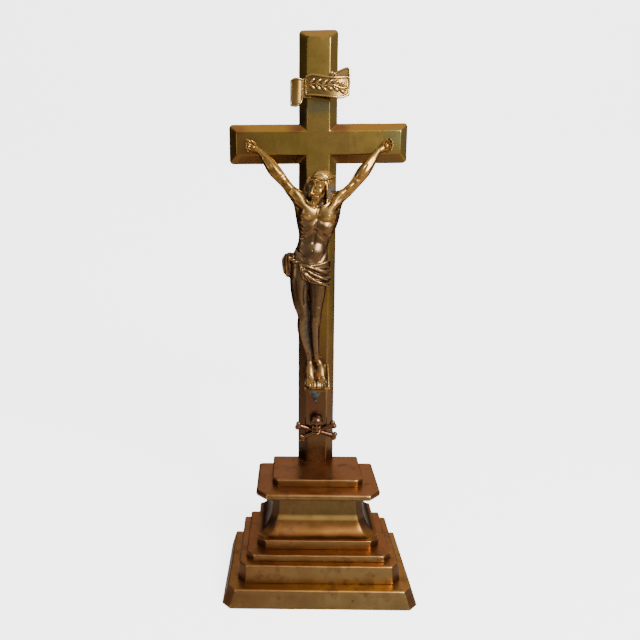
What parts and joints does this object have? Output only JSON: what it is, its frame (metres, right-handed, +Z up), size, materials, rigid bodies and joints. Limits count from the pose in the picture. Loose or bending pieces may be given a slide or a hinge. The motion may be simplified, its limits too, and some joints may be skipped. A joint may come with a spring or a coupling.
{
  "type": "altar cross",
  "caption": "Standing altar crucifix: bevelled cross with a hanging figure, scroll, foot board, skull and crossed bones on a stepped, flat-backed base.",
  "frame": {"origin": "middle of the underside of the base", "axes": "+Z up, -Y towards the viewer of the figure, +X to that viewer's right"},
  "size_m": [0.138, 0.08, 0.4],
  "materials": {
    "brass": "satin, worn",
    "aged_brass": "satin, toned brown with rubbed edges",
    "bronze": "polished brown bronze with dark recesses",
    "steel": "plain"
  },
  "bodies": {
    "root": {"plinth": "aged_brass", "lower_step": "aged_brass", "middle_step": "aged_brass", "upper_step": "aged_brass", "neck": "brass", "cap_plate": "brass", "top_block": "brass", "cross": "brass", "cross_screws": "steel", "tie_rod": "steel", "tie_bar": "steel", "tie_washer": "steel", "tie_nut": "steel", "scroll": "brass", "scroll_pins": "brass", "corpus_body": "bronze", "arm_left": "bronze", "arm_right": "bronze", "arm_dowels": "steel", "hand_nails": "bronze", "foot_nails": "bronze", "foot_board": "brass", "board_rivet": "brass", "skull": "bronze", "crossbones": "bronze", "emblem_pin": "brass"}
  },
  "joints": []
}
